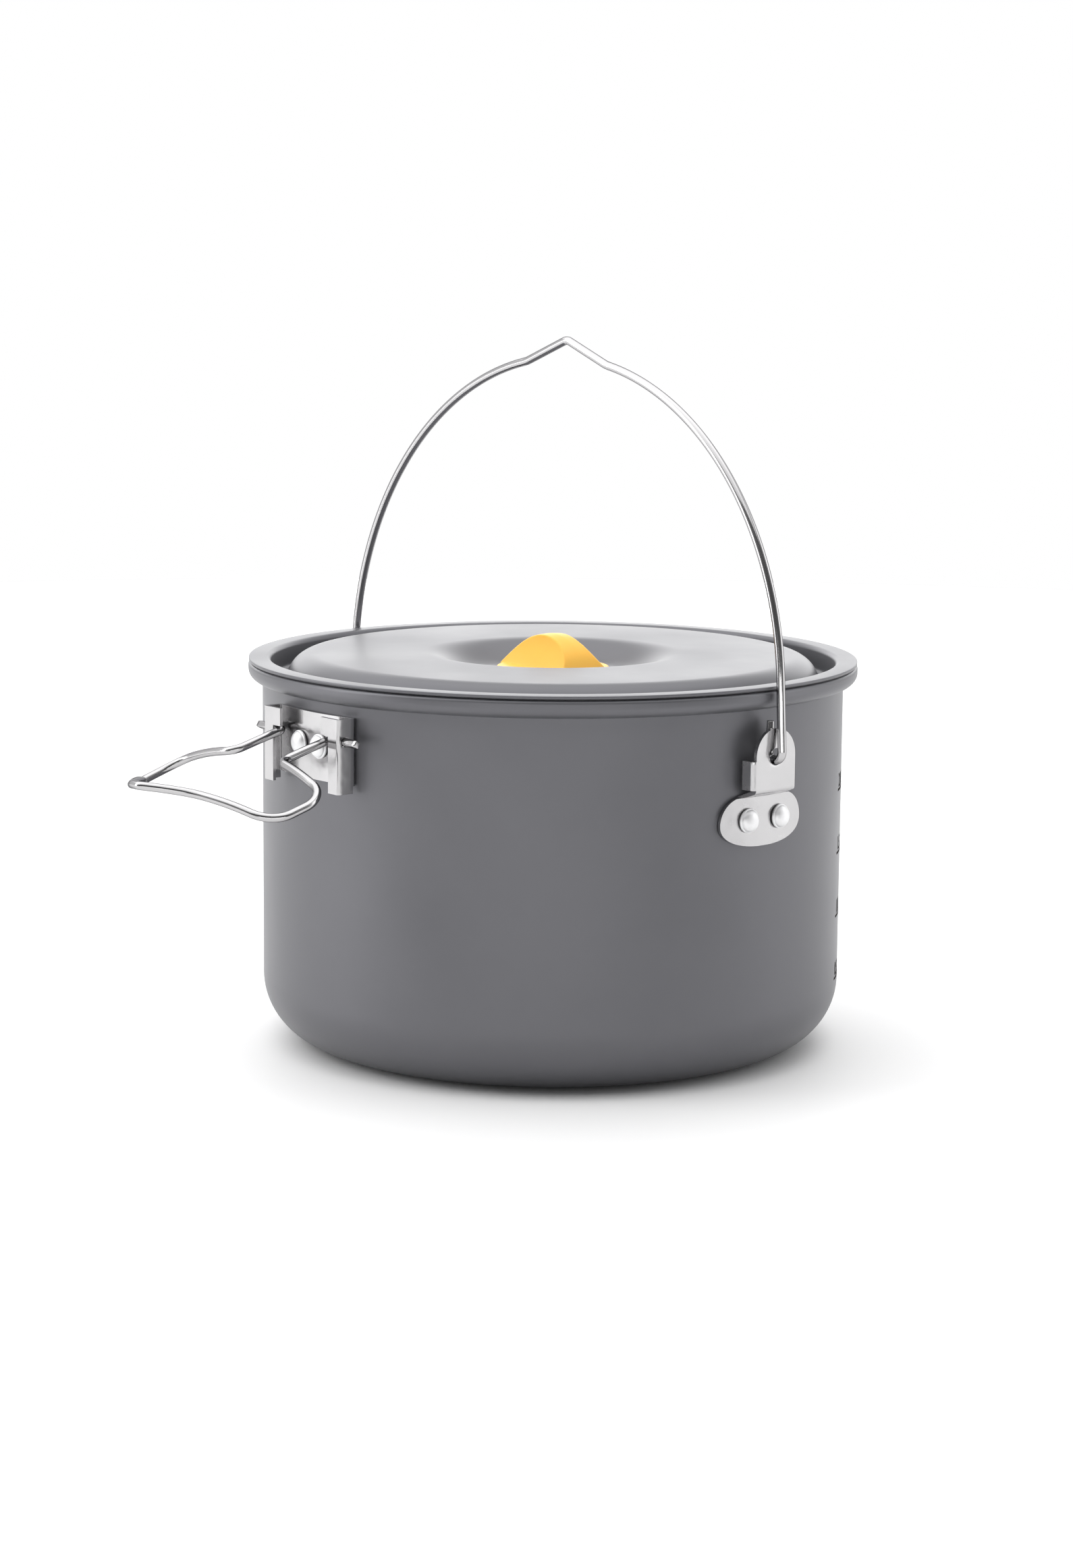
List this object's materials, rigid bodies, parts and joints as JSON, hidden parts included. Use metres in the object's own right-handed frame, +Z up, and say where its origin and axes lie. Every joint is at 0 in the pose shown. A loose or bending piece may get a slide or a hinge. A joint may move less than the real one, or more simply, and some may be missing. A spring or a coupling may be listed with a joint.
{
  "type": "camping cook pot",
  "caption": "Round camping pot with rolled rim, pressed lid with a dished moulded knob, swinging wire bail on riveted lugs and a folding wire side handle.",
  "frame": {"origin": "centre of the flat underside of the pot's base", "axes": "+Z up; +X through the right-hand bail lug, along the bail's pivot line; the side handle points about along -Y"},
  "size_m": [0.201, 0.2494, 0.2205],
  "materials": {
    "anodised": "hard anodised, fine satin",
    "knob_plastic": "moulded, satin",
    "wire": "bright drawn stainless wire",
    "sheet_steel": "bright pressed stainless sheet",
    "rivet": "bright headed aluminium",
    "screw_steel": "zinc-plated screw and washer",
    "brass": "turned"
  },
  "bodies": {
    "pot": {"pot_shell": "anodised", "bail_lug_right": "sheet_steel", "bail_lug_left": "sheet_steel", "handle_bracket": "sheet_steel", "lug_rivet_right_1": "rivet", "lug_rivet_right_2": "rivet", "lug_rivet_left_1": "rivet", "lug_rivet_left_2": "rivet", "bracket_rivet_1": "rivet", "bracket_rivet_2": "rivet"},
    "lid": {"lid_pan": "anodised", "lid_knob": "knob_plastic", "knob_insert": "brass", "knob_screw": "screw_steel", "knob_washer": "screw_steel"},
    "bail": {"bail_wire": "wire"},
    "side_handle": {"side_handle_wire": "wire"}
  },
  "joints": [
    {"name": "bail_swing", "type": "hinge", "parent": "pot", "child": "bail", "pos_m": [0, 0, 0.0995], "axis": [1, 0, 0], "range_deg": [-124, 76]},
    {"name": "side_handle_fold", "type": "hinge", "parent": "pot", "child": "side_handle", "pos_m": [-0.00732, -0.09301, 0.104], "axis": [0.9969, -0.0785, 0], "range_deg": [0, 75]},
    {"name": "lid_lift", "type": "slide", "parent": "pot", "child": "lid", "axis": [0, 0, 1], "range_m": [0, 0.0015]}
  ]
}
